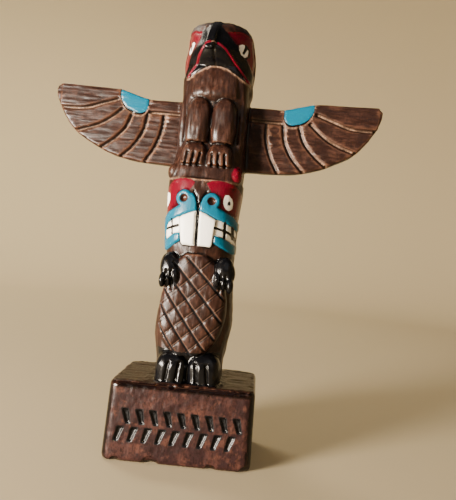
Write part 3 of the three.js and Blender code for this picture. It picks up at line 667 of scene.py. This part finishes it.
# every drawn shape as a distance inside it, in millimetres, at each vertex
def fields(world, facing):
    co = toFigure(world)
    x, y, h = co.T
    ax = np.abs(x)
    front = facing < -0.05
    f = dict(co=co)

    face = front & (h > 47) & (h < 82) & (y < 1)
    across = np.where(x > 0, x, -x + mouth["squeeze"] * smooth((-x - 6) / 6))
    for name in ("incisor", "turquoise", "red", "sideTeeth"):
        f[name] = within(face, lambda a, b: insideBy(a, b, mouth[name]), across, h)
    f["nostril"] = np.full(len(x), far)
    for centre in mouth["nostrils"]:
        lobe = within(face, lambda a, b: insideOval(a, b, centre, (mouth["lobeRadius"],) * 2), x, h)
        f["turquoise"] = np.maximum(f["turquoise"], lobe)
        hole = within(face, lambda a, b: insideOval(a, b, centre, (mouth["nostrilRadius"],) * 2), x, h)
        f["nostril"] = np.maximum(f["nostril"], hole)
    f["red"] = np.minimum(f["red"], -f["turquoise"])
    f["eye"], f["pupil"] = np.full(len(x), far), np.full(len(x), far)
    for side, centre in ((1, mouth["rightEye"]), (-1, mouth["leftEye"])):
        turn = mouth["eyeTurn"] * side
        seen = within(face, lambda a, b: insideOval(a, b, centre, mouth["eyeRadii"], turn), x, h)
        f["eye"] = np.maximum(f["eye"], seen)
        spot = (centre[0] + mouth["pupilShift"][0] * side, centre[1] + mouth["pupilShift"][1])
        seen = within(face, lambda a, b: insideOval(a, b, spot, mouth["pupilRadii"]), x, h)
        f["pupil"] = np.maximum(f["pupil"], seen)
    f["biteLines"] = np.maximum(nearLines(face & (x > 0), x, h, [curve(line) for line in mouth["rightCuts"]]),
                                nearLines(face & (x <= 0), x, h, [curve(line) for line in mouth["leftCuts"]]))
    f["middleLine"] = nearLines(face & (ax < 4), ax, h, [mouth["middleCut"]])

    onTail = front & (h > pole["tailBottom"]) & (h < pole["tailTop"]) & (ax < tailHalf(h) - 0.4) & (y < -11)
    deep, light = hatchLines()
    f["deepHatch"] = nearLines(onTail, x, h, deep)
    f["lightHatch"] = nearLines(onTail, x, h, light)

    onFoot = front & (h < pole["footTop"] - 1) & (h > 0.5) & (y < -11)
    third = 2 * foot["halfWidth"] / 3
    footLines = [[(third * i, -1), (third * i - 1.2, 8)] for i in (1, 2)]
    f["footLines"] = nearLines(onFoot, np.abs(x - foot["shift"]), h, footLines)
    onToes = front & (h > pole["toeBottom"] - 1) & (h < pole["toeBottom"] + 7) & (y < -9)
    toes = [leg["spread"] + leg["toePitch"] * i for i in (-1, 0, 1)]
    toeLines = [[(toe + 0.4, 85), (toe - 0.3, 90.3)] for toe in toes]
    f["toeLines"] = nearLines(onToes, ax, h, toeLines)
    pawLines = [[(paw["side"] + side, 36), (paw["side"] + side * 0.8, 43.4)] for side in (-1.3, 1.3)]
    onPaw = front & (h > 36) & (h < 45) & (y < -13.5)
    f["pawLines"] = nearLines(onPaw, np.abs(x - paw["shift"]), h, pawLines)

    wx, _, wh = toFigure(world, onWing=True).T
    onWing = front & (np.abs(wx) > 14) & (h > 84) & (h < 120)
    f["feather"] = nearLines(onWing, np.abs(wx), wh, featherLines())
    # the feather cuts moved 0.8 mm to the right, onto their lit walls: a painted highlight mixed with wear
    f["featherWorn"] = nearLines(onWing, np.abs(wx - 0.8), wh, featherLines())
    f["patch"] = within(onWing, insidePatch, np.abs(wx), wh)

    onBase = front & (h < -4) & (y < -15)
    f["stroke"] = np.full(len(x), far)
    for wedge in strokes():
        f["stroke"] = np.maximum(f["stroke"], within(onBase, lambda a, b: insideBy(a, b, wedge), x, h))

    onHead = (h > pole["headBottom"] + 3) & (y < 2) & front
    faceX = np.abs(x - beak["shift"] * smooth((139 - h) / 5))
    for name in ("cere", "jaw", "cheek"):
        f["bird" + name] = within(onHead, lambda a, b: insideBy(a, b, beak[name]), faceX, h)
    f["lip"] = within(onHead, lambda a, b: beak["lipHalf"] - lineDistance(a, b, beak["lip"]), faceX, h)
    eyeX = np.where(x > 0, x - beak["rightEyeShift"], -x - beak["leftEyeShift"])
    f["birdeye"] = within(onHead, lambda a, b: insideBy(a, b, beak["eye"]), eyeX, h + beak["eyeDrop"])
    f["birdpupil"] = within(onHead, lambda a, b: beak["pupilHalf"] - lineDistance(a, b, beak["pupil"]), eyeX,
                            h + beak["eyeDrop"])
    return f


def raisedBy(inside, height, edge=0.5):
    return height * smooth(inside / edge)


# the near distance is negative: zero on the line itself
def cutBy(near, width, depth):
    return -depth * np.clip(1 - (near / (width / 2)) ** 2, 0, 1)


# small knocks along the front edges of the block: place across, height and radius
chips = ((-9.5, 0, 3.4), (-23, 0, 2.2), (13.5, 0, 2.4), (27.5, 0, 3), (-4, pole["baseHeight"], 2))


def chipped(world):
    total = np.zeros_like(world)
    front = world[:, 1].min()
    for across, height, radius in chips:
        apart = np.linalg.norm(world - np.array((across, front, height)), axis=1)
        depth = 0.35 * radius * np.clip(1 - apart / radius, 0, 1) ** 0.6
        total += depth[:, None] * np.array((0, 0.7, 0.7 if height == 0 else -0.7))
    return total


skinPlay = 0.2  # the outermost skin is drawn in by this, so that relief stays inside the solid's own box


def carve(piece):
    world = places(piece)
    out = relaxed(normals(piece), neighbours(piece), 3)
    out /= np.linalg.norm(out, axis=1)[:, None]
    f = fields(world, out[:, 1])
    co = f["co"]
    x, y, h = co.T
    move = raisedBy(f["incisor"], 1.0) + raisedBy(f["turquoise"], 0.75) + raisedBy(f["sideTeeth"], 0.2)
    move -= raisedBy(f["nostril"], 1.5, 0.6)
    move += cutBy(f["biteLines"], 1.0, 0.4) + cutBy(f["middleLine"], 1.0, 0.5)
    move += cutBy(f["deepHatch"], hatch["width"], hatch["depth"])
    move += cutBy(f["lightHatch"], hatch["lightWidth"], hatch["lightDepth"])
    move += cutBy(f["footLines"], 1.6, 1.0) + cutBy(f["toeLines"], 1.2, 1.0) + cutBy(f["pawLines"], 1.2, 0.6)
    move += cutBy(f["feather"], feather["width"], feather["depth"])
    move += cutBy(f["patch"], 1.0, 0.5) - raisedBy(f["stroke"], 0.7, 0.5)
    move += raisedBy(f["lip"], 0.55, 0.5) + raisedBy(f["birdjaw"], 0.5, 0.6)
    move -= raisedBy(f["birdcheek"], 0.35, 0.6)
    painted = np.maximum.reduce([f[name] for name in ("incisor", "turquoise", "red", "sideTeeth", "birdcere",
                                                      "birdjaw", "birdcheek", "lip")])
    wood = 1 - 0.8 * smooth(painted / 0.5 + 0.5)
    onWing = (np.abs(x) > 16) & (h > 0)
    grain = np.where(onWing, lumps(co, (7, 1.6, 0.9), 3), lumps(co, (1.0, 1.0, 5), 4))
    facets = 0.6 * lumps(co, (3.2, 3.2, 5.5), 5) + 0.4 * lumps(co, 2.4, 6)
    strength = np.where(onWing, 0.12, 0.34)
    base = h < -0.5
    blockFront = smooth((-out[:, 1] - 0.85) / 0.1)
    chisel = 0.6 * lumps(co, 2.2, 8) + 0.5 * lumps(co, (1.1, 1, 1.8), 9)
    underside = smooth((world[:, 2] - 0.3) / 1.5)
    chisel *= smooth(-f["stroke"] / 0.6)
    move += np.where(base, 0.16 * chisel * blockFront * underside, wood * (strength * facets + 0.12 * grain))
    atTop = world[:, 2] > pole["baseHeight"] + pole["top"] - 2
    inward = np.where(base | atTop | (np.abs(x) > wing["tip"] - 2), -skinPlay, 0)
    place(piece, world + out * (move + inward * underside)[:, None] + chipped(world))


carve(casting)
print("carved")


def thin(piece, most):
    triangles = sum(len(p.vertices) - 2 for p in piece.data.polygons)
    selectOnly(piece)
    modifier = piece.modifiers.new("thin", "DECIMATE")
    modifier.ratio = min(1, most / triangles)
    bpy.ops.object.modifier_apply(modifier=modifier.name)
    print("thinned from", triangles, "to", sum(len(p.vertices) - 2 for p in piece.data.polygons), "triangles")


thin(casting, most=190000)
for polygon in casting.data.polygons:
    polygon.use_smooth = True


# Paint: each colour's edge is kept on the mesh as a distance, so that the shader can draw it sharp

def addField(piece, name, values):
    attribute = piece.data.attributes.new(name, "FLOAT", "POINT")
    attribute.data.foreach_set("value", np.clip(values, -4, 4).astype(np.float32))


def paint(piece):
    world = places(piece)
    pairs = neighbours(piece)
    out = normals(piece)
    f = fields(world, relaxed(out, pairs, 4)[:, 1])
    co = f["co"]
    x, y, h = co.T
    wander = 0.16 * lumps(co, 1.6, 11) + 0.1 * lumps(co, 0.7, 12)

    ear = np.minimum(np.minimum(insideBalls(co, [earBall]) + 0.3, h - pole["faceTop"] - 0.3), x)
    low = (h < pole["footTop"] + 1) & (h > -1.5) & (y < -7)
    feet = within(low, lambda a, b: np.minimum(b - 0.2, 13.6 - a), np.abs(x - foot["shift"]), h)
    feet = np.minimum(feet, np.where(y < foot["centre"] + 4.5, pole["footTop"] + 0.4 - h, far))
    paws = insideBalls(co - np.array((paw["shift"], 0, 0)), pawForms()) + 0.5
    red = np.maximum.reduce([f["red"], f["birdcheek"], f["lip"], ear])
    turquoise = np.maximum(f["turquoise"], f["patch"])
    white = np.maximum.reduce([f["incisor"], f["sideTeeth"], f["eye"], f["birdeye"]])
    black = np.maximum.reduce([f["birdcere"], f["birdjaw"], paws, feet, f["stroke"] + 0.3,
                               f["biteLines"] + 0.52, f["middleLine"] + 0.45,
                               0.35 - np.abs(f["patch"]), f["pupil"], f["birdpupil"],
                               np.minimum(f["birdeye"] + 0.55, -f["birdeye"])])
    black = np.where(f["lip"] > -0.3, np.minimum(black, -f["lip"]), black)
    black = np.where((f["birdeye"] > 0) & (f["birdpupil"] < 0), f["birdpupil"], black)
    addField(piece, "red", red + wander)
    addField(piece, "turquoise", turquoise + wander)
    addField(piece, "white", white + wander * 0.8)
    addField(piece, "black", black + wander * 0.6)
    addField(piece, "nostril", f["nostril"])
    fall, rise = hatchCounts(x, h)
    addField(piece, "fall", fall - 2)  # two lines off, to keep within what a field holds
    addField(piece, "rise", rise - 2)
    inHeight = np.minimum(h - pole["tailBottom"], pole["tailTop"] - 0.5 - h)
    edge = np.minimum(tailHalf(h) - 0.5 - np.abs(x), inHeight)
    addField(piece, "hatched", smooth(edge / 0.6) * (y < -10))

    flat = relaxed(world, pairs, 14)
    cavity = np.einsum("ij,ij->i", world - flat, out)  # above the smoothed skin, in millimetres
    addField(piece, "cavity", cavity / 0.25)
    # light lines beside the feather cuts, around the patches, along the face's top rim and along the jaw's
    # edge: partly wiped wear, partly painted highlight on edges that face the light
    wearAndHighlight = np.maximum.reduce([
        1 + f["featherWorn"] / 0.5,
        1 - np.abs(f["patch"] + 0.95) / 0.55,
        1 - np.abs(np.where(np.abs(x) < 14, h, far) - pole["faceTop"] + 0.3) / 0.45 - 2 * (y > 0),
        1 - np.abs(f["birdjaw"] + 0.25) / 0.5,
    ])
    addField(piece, "wearAndHighlight", np.clip(wearAndHighlight, 0, 1) * (0.75 + 0.5 * lumps(co, 3, 21)))
    addField(piece, "wing", smooth((np.abs(x) - 13) / 2) * (h > 80))
    addField(piece, "base", smooth(-h / 0.8))
    addField(piece, "chiselled", smooth((-out[:, 1] - 0.8) / 0.15) * smooth((-2.2 - h) / 0.8) * (h < 0))


paint(casting)
print("painted")


# Materials

def linear(hexText):
    parts = [int(hexText[i:i + 2], 16) / 255 for i in (1, 3, 5)]
    return [c / 12.92 if c <= 0.04045 else ((c + 0.055) / 1.055) ** 2.4 for c in parts] + [1]


# one node with its settings, its fixed inputs and what is linked into it
def addNode(tree, kind, links=(), inputs=(), **settings):
    node = tree.nodes.new(kind)
    for name, value in settings.items():
        setattr(node, name, value)
    for key, value in dict(inputs).items():
        node.inputs[key].default_value = value
    for key, source in dict(links).items():
        if isinstance(source, (int, float, list)):
            node.inputs[key].default_value = source
        else:
            tree.links.new(source, node.inputs[key])
    return node


# cast resin, washed brown and wiped so that the wash stays in the cuts, with glossy enamel on top; painted
# shade darkens the enamels in recesses and the block's top, and painted highlights run beside the cuts and
# edges
def castingMaterial():
    made = bpy.data.materials.new("washed cast resin with enamel")
    made.use_nodes = True
    tree = made.node_tree
    shader = tree.nodes["Principled BSDF"]
    here = addNode(tree, "ShaderNodeTexCoord").outputs["Object"]

    def field(name):
        return addNode(tree, "ShaderNodeAttribute", attribute_name=name).outputs["Fac"]

    def mapped(value, low, high, to0=0.0, to1=1.0):
        return addNode(tree, "ShaderNodeMapRange", {"Value": value}, {
            "From Min": low, "From Max": high, "To Min": to0, "To Max": to1},
            interpolation_type="SMOOTHSTEP").outputs["Result"]

    def mixed(share, a, b):
        return addNode(tree, "ShaderNodeMix", {0: share, 6: a, 7: b}, data_type="RGBA").outputs[2]

    def blended(share, a, b):
        return addNode(tree, "ShaderNodeMix", {0: share, 2: a, 3: b}, data_type="FLOAT").outputs[0]

    def times(a, b):
        return addNode(tree, "ShaderNodeMath", {0: a, 1: b}, operation="MULTIPLY").outputs[0]

    def noise(size, stretch=(1, 1, 1), detail=3.0, roughness=0.6, seed=0.0):
        mapping = addNode(tree, "ShaderNodeMapping", {"Vector": here},
                          {"Scale": stretch, "Location": (seed, seed * 1.7, seed * 0.6)}).outputs["Vector"]
        return addNode(tree, "ShaderNodeTexNoise", {"Vector": mapping},
                       {"Scale": 1 / (size * mm), "Detail": detail, "Roughness": roughness}).outputs["Fac"]

    # streaks about 1 mm across and 7 mm long: upright on the pole, along the feathers on the wings
    grain = blended(field("wing"), noise(1.1, (1, 1, 0.16), 4, 0.65, 1), noise(1.0, (0.14, 1, 1), 4, 0.65, 2))
    blotch = noise(6, (1, 1, 0.7), 3, 0.6, 3)
    speck = noise(0.7, (1, 1, 0.6), 2, 0.6, 4)
    dark, mid, pale = linear("#0d0604"), linear("#20100b"), linear("#3e251b")
    wood = mixed(mapped(grain, 0.36, 0.74), mid, pale)
    wood = mixed(mapped(blotch, 0.42, 0.60), wood, mid)
    wood = mixed(times(mapped(speck, 0.45, 0.68), 0.5), wood, dark)

    # the block's dark red-brown lacquer, taken down to near black as painted shade for the top, which faces
    # away from the light
    shadedLacquer = mixed(mapped(blotch, 0.35, 0.7), linear("#060202"), linear("#0d0303"))
    front = mixed(mapped(noise(7, (1, 1, 1), 4, 0.7, 5), 0.46, 0.64), linear("#241414"), linear("#38211d"))
    front = mixed(times(mapped(noise(4.5, (1, 1, 1), 4, 0.7, 6), 0.5, 0.66), 0.75), front, linear("#4a2d24"))
    front = mixed(times(mapped(speck, 0.5, 0.62), 0.5), front, dark)
    wood = mixed(field("base"), wood, shadedLacquer)
    wood = mixed(field("chiselled"), wood, front)

    cavity = field("cavity")
    bare = blended(field("base"), 1.0, 0.25)
    wood = mixed(mapped(cavity, -0.15, -0.9, 0, 0.92), wood, linear("#070302"))
    wood = mixed(times(mapped(cavity, 0.5, 1.7, 0, 0.42), bare), wood, linear("#6a4836"))
    # light tan along those lines: partly wiped wear, partly painted highlight
    wood = mixed(times(field("wearAndHighlight"), mapped(speck, 0.35, 0.6, 0.35, 0.9)), wood, linear("#9c7b64"))

    # the tail's cuts: dark ones fall to the right with a painted highlight along one edge, finer double ones
    # rise to it with a painted highlight between them
    def hatchLine(name, shift, core, edge):
        moved = addNode(tree, "ShaderNodeMath", {0: field(name), 1: shift}, operation="ADD").outputs[0]
        near = addNode(tree, "ShaderNodeMath", {0: moved, 1: 0.5}, operation="PINGPONG").outputs[0]
        return times(mapped(near, edge, core), field("hatched"))

    darkCut, cutHighlight = linear("#070302"), linear("#745646")
    wood = mixed(times(hatchLine("rise", 0, 0.015, 0.05), 0.3), wood, cutHighlight)
    for shift in (-0.07, 0.07):
        wood = mixed(times(hatchLine("rise", shift, 0.02, 0.05), 0.95), wood, darkCut)
    wood = mixed(times(hatchLine("fall", 0.12, 0.015, 0.05), 0.3), wood, cutHighlight)
    cut = hatchLine("fall", 0, 0.055, 0.095)
    wood = mixed(cut, wood, linear("#030101"))
    colour = mixed(mapped(field("nostril"), -0.3, 0.3), wood, linear("#3a2119"))
    # each enamel's second, darker tone is painted shade: it is mixed in where the skin lies below its
    # smoothed form, in recesses
    coats = (("red", "#560216", "#220106"), ("turquoise", "#00566f", "#022c38"),
             ("white", "#f2efe4", "#a79f92"), ("black", "#070709", "#020203"))
    for name, tone, deep in coats:
        shadedCoat = mixed(mapped(cavity, -0.1, -0.8, 0, 0.8), linear(tone), linear(deep))
        share = mapped(field(name), -0.08, 0.08)
        if name == "turquoise":
            share = times(share, mapped(field("nostril"), 0.15, -0.15))
        colour = mixed(share, colour, shadedCoat)
    tree.links.new(colour, shader.inputs["Base Color"])

    roughness = mapped(grain, 0.3, 0.7, 0.28, 0.44)
    gloss = (("base", 0.20), ("chiselled", 0.34), ("red", 0.22), ("turquoise", 0.26),
             ("white", 0.32), ("black", 0.2))
    for name, value in gloss:
        share = field(name) if name in ("base", "chiselled") else mapped(field(name), -0.08, 0.08)
        roughness = blended(share, roughness, value)
    roughness = blended(times(field("chiselled"), mapped(field("black"), -0.08, 0.08)), roughness, 0.42)
    roughness = blended(cut, roughness, 0.85)
    tree.links.new(roughness, shader.inputs["Roughness"])
    shader.inputs["IOR"].default_value = 1.5
    shader.inputs["Specular IOR Level"].default_value = 0.24
    bump = addNode(tree, "ShaderNodeBump", {"Height": grain}, {"Strength": 0.3, "Distance": 0.4 * mm})
    tree.links.new(bump.outputs["Normal"], shader.inputs["Normal"])
    return made


casting.data.materials.clear()
casting.data.materials.append(castingMaterial())

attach(casting, "root")
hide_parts("totem_pole")


# Camera, lights and stage

view = dict(position=(24.2, -208.5, 83.7), focal=500, frameSize=(456, 500),
            depthVanishesAt=(259, 255), roll=math.radians(5.7))


def addCamera():
    data = bpy.data.cameras.new("camera")
    camera = bpy.data.objects.new("camera", data)
    bpy.context.scene.collection.objects.link(camera)
    data.sensor_width = 36
    data.lens = 36 * view["focal"] / max(view["frameSize"])
    data.clip_start = 0.01
    data.clip_end = 20
    long = max(view["frameSize"])
    data.shift_x = (view["frameSize"][0] / 2 - view["depthVanishesAt"][0]) / long
    data.shift_y = (view["depthVanishesAt"][1] - view["frameSize"][1] / 2) / long
    camera.location = Vector(view["position"]) * mm
    camera.rotation_euler = (math.pi / 2, -view["roll"], 0)
    bpy.context.scene.camera = camera


def addArea(name, position, target, size, power, colour):
    data = bpy.data.lights.new(name, "AREA")
    data.shape = "DISK"
    data.size = size * mm
    data.energy = power
    data.color = linear(colour)[:3]
    light = bpy.data.objects.new(name, data)
    light.location = Vector(position) * mm
    aim = Vector(target) * mm - light.location
    light.rotation_mode = "QUATERNION"
    light.rotation_quaternion = aim.to_track_quat("-Z", "Y")
    bpy.context.scene.collection.objects.link(light)


# a flat floor that curves up into the wall all round
def addStage():
    radius, rise, rings, flatShare = 1500, 1200, 24, 0.4
    bpy.ops.object.select_all(action="DESELECT")
    bpy.ops.mesh.primitive_circle_add(vertices=96, radius=radius * flatShare * mm, fill_type="NGON")
    stage = bpy.context.object
    stage.name = "stage"
    bpy.ops.object.mode_set(mode="EDIT")
    bpy.ops.mesh.select_all(action="SELECT")
    last = radius * flatShare
    for i in range(1, rings + 1):
        angle = math.pi / 2 * i / rings
        reach = radius * (flatShare + (1 - flatShare) * math.sin(angle))
        height = rise * (1 - math.cos(angle))
        before = rise * (1 - math.cos(math.pi / 2 * (i - 1) / rings))
        bpy.ops.mesh.extrude_region_move(TRANSFORM_OT_translate={"value": (0, 0, (height - before) * mm)})
        bpy.ops.transform.resize(value=(reach / last, reach / last, 1), center_override=(0, 0, height * mm))
        last = reach
    bpy.ops.mesh.delete(type="ONLY_FACE")  # the lid over the last ring
    bpy.ops.object.mode_set(mode="OBJECT")
    paper = bpy.data.materials.new("paper sweep")
    paper.use_nodes = True
    paper.node_tree.nodes["Principled BSDF"].inputs["Base Color"].default_value = linear("#cfbd97")
    paper.node_tree.nodes["Principled BSDF"].inputs["Roughness"].default_value = 0.9
    stage.data.materials.append(paper)
    for polygon in stage.data.polygons:
        polygon.use_smooth = True


addCamera()
addStage()
addArea("window", (-450, -400, 60), (0, 0, 95), 200, 26, "#fff2e2")
addArea("fill", (250, -600, 500), (0, 0, 90), 600, 0.7, "#ffffff")
addArea("backdrop", (-500, 400, 800), (-100, 1100, 200), 500, 8, "#fff4e0")
world = bpy.data.worlds.new("world")
bpy.context.scene.world = world
world.use_nodes = True
world.node_tree.nodes["Background"].inputs[0].default_value = linear("#e8e2d8")
world.node_tree.nodes["Background"].inputs[1].default_value = 0.12
